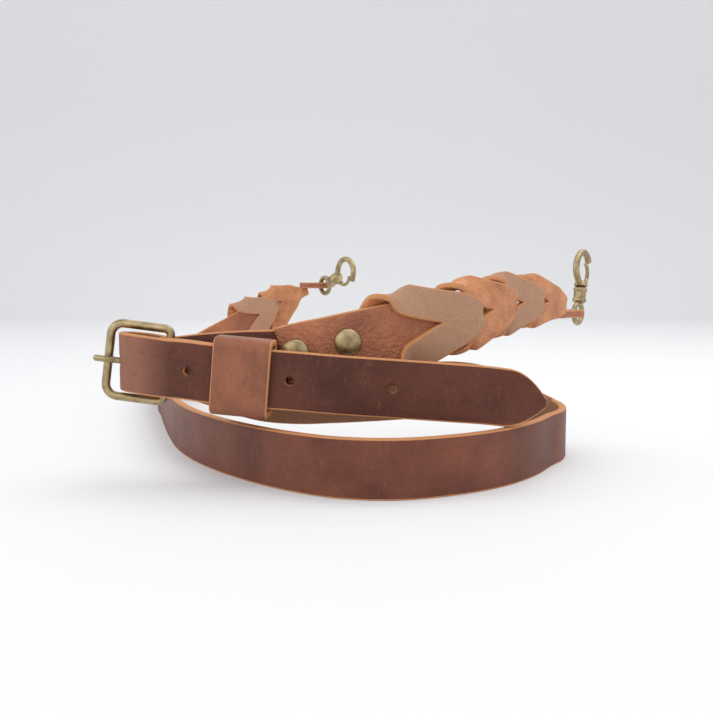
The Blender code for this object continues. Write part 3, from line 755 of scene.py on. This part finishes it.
# where the first notch lies and the last chevron ends, in metres along the plait's axis
RIGHT_NOTCHES = (0.037, 0.143)
LEFT_NOTCHES = (0.026, 0.066)
RIGHT_ARM = 5.8 * MM
LEFT_ARM = 5.2 * MM
right_eye, right_way = plait("leather_plait_right", "plait_right", RIGHT_AXIS, 4, RIGHT_NOTCHES, RIGHT_TAIL,
                             RIGHT_ARM)
left_eye, left_way = plait("leather_plait_left", "plait_left", LEFT_AXIS, 2, LEFT_NOTCHES, LEFT_TAIL,
                           LEFT_ARM)


# Rivets: double-cap rivets of the same brass, with low domed caps pressed flat at their middle.
RIVET_CAP = 9.5 * MM
CAP_HEIGHT = 1.6 * MM
CAP_EDGE = 0.3 * MM
CAP_HOLLOW = 0.35 * MM
SHANK_RADIUS = 1.2 * MM
# columns: name, place in mm, the front cap's facing and the thickness of the stack in mm
for name, x, y, z, out_x, out_y, stack in (
        ("rivet_right_1", -21.4, 30.0, 45.4, 0.06, -1, 6.2),
        ("rivet_right_2", -3.3, 31.4, 49.0, 0.10, -1, 6.8),
        ("rivet_left_1", -101.8, 252.7, 22, 0.66, -0.75, 8.4),
        ("rivet_left_2", -89.4, 260.3, 29, 0.3, -0.95, 7.4)):
    cap = RIVET_CAP / 2
    top = stack * MM / 2 + CAP_EDGE
    front = [(SHANK_RADIUS, top - CAP_HOLLOW), (cap, top - CAP_EDGE)]
    for degrees in range(0, 86, 12):
        angle = math.radians(degrees)
        front.append((cap * math.cos(angle) ** 0.8, top + CAP_HEIGHT * math.sin(angle)))
    profile = [(r, -h) for r, h in reversed(front)] + front
    matrix = frame_at(SHIFT + Vector((x, y, z)) * MM, Vector((out_x, out_y, 0)), UP)
    brass_piece("brass_" + name, [turned("rivet", profile, matrix, BRASS)], name)


# Snap hooks: cast brass. An eye and barrel collar carry a hook that swivels, and a sprung lever closes
# its bow.
COLLAR_RADIUS = 3.2 * MM
COLLAR_LENGTH = 7.0 * MM
BOW_RADIUS = 7.4 * MM
BOW_WIRE = 3.0 * MM
BOW_DEGREES = range(33, -241, -6)
BOW_LIFT = 1.6 * MM
GATE_THICK = 1.8 * MM
GATE_START = 38
GATE_SWEEP = 90
GATE_DROP = 3.4 * MM
GATE_STEPS = 24
EYE_STEPS = 40
collar_start = EYE_RADIUS + 0.4 * MM
hook_start = collar_start + COLLAR_LENGTH + CLEAR
bow_middle = hook_start + BOW_LIFT + BOW_RADIUS
# columns: radius and height
COLLAR_ROWS = ((COLLAR_RADIUS * 0.8, 0), (COLLAR_RADIUS, 0.5 * MM), (COLLAR_RADIUS, 1.6 * MM),
               (COLLAR_RADIUS * 0.88, 2.0 * MM), (COLLAR_RADIUS * 0.88, COLLAR_LENGTH - 2.0 * MM),
               (COLLAR_RADIUS, COLLAR_LENGTH - 1.6 * MM), (COLLAR_RADIUS, COLLAR_LENGTH - 0.5 * MM),
               (COLLAR_RADIUS * 0.85, COLLAR_LENGTH))
BASE_ROWS = ((COLLAR_RADIUS * 0.8, 0), (COLLAR_RADIUS, 0.5 * MM), (COLLAR_RADIUS * 0.95, 1.4 * MM),
             (COLLAR_RADIUS * 0.75, 2.6 * MM))
for side, eye, way, lean in (("right", right_eye, right_way, math.radians(12)),
                             ("left", left_eye, left_way, math.radians(70))):
    normal = way.cross(UP)
    axis = (UP * math.cos(lean) + way * math.sin(lean)).normalized()
    wide = normal.cross(axis).normalized()
    wide = wide if wide.dot(way) > 0 else -wide
    middle = SHIFT + eye

    def on_bow(degrees, inward=0.0):
        turn = math.radians(degrees)
        radius = BOW_RADIUS - inward
        return middle + wide * radius * math.sin(turn) + axis * (bow_middle - radius * math.cos(turn))

    turns = [math.tau * k / EYE_STEPS for k in range(EYE_STEPS)]
    ring = [middle + wide * EYE_RADIUS * math.cos(a) + axis * EYE_RADIUS * math.sin(a) for a in turns]
    collar = turned("collar", COLLAR_ROWS, frame_at(middle + axis * collar_start, axis, normal), BRASS)
    brass_piece("brass_%s_eye" % side, [wire("eye", ring, EYE_WIRE, closed=True), collar],
                "snap_%s_eye" % side)
    base = turned("base", BASE_ROWS, frame_at(middle + axis * hook_start, axis, normal), BRASS)
    bow_wire = wire("bow", [on_bow(a) for a in BOW_DEGREES], BOW_WIRE)
    brass_piece("brass_%s_hook" % side, [base, bow_wire], "snap_%s_hook" % side, side + "_hook")
    lever = []
    for k in range(GATE_STEPS + 1):
        share = k / GATE_STEPS
        lever.append(on_bow(GATE_START + GATE_SWEEP * share, GATE_DROP * share ** 1.5))
    brass_piece("brass_%s_gate" % side, [wire("gate", lever, GATE_THICK)], "snap_%s_gate" % side,
                side + "_gate")
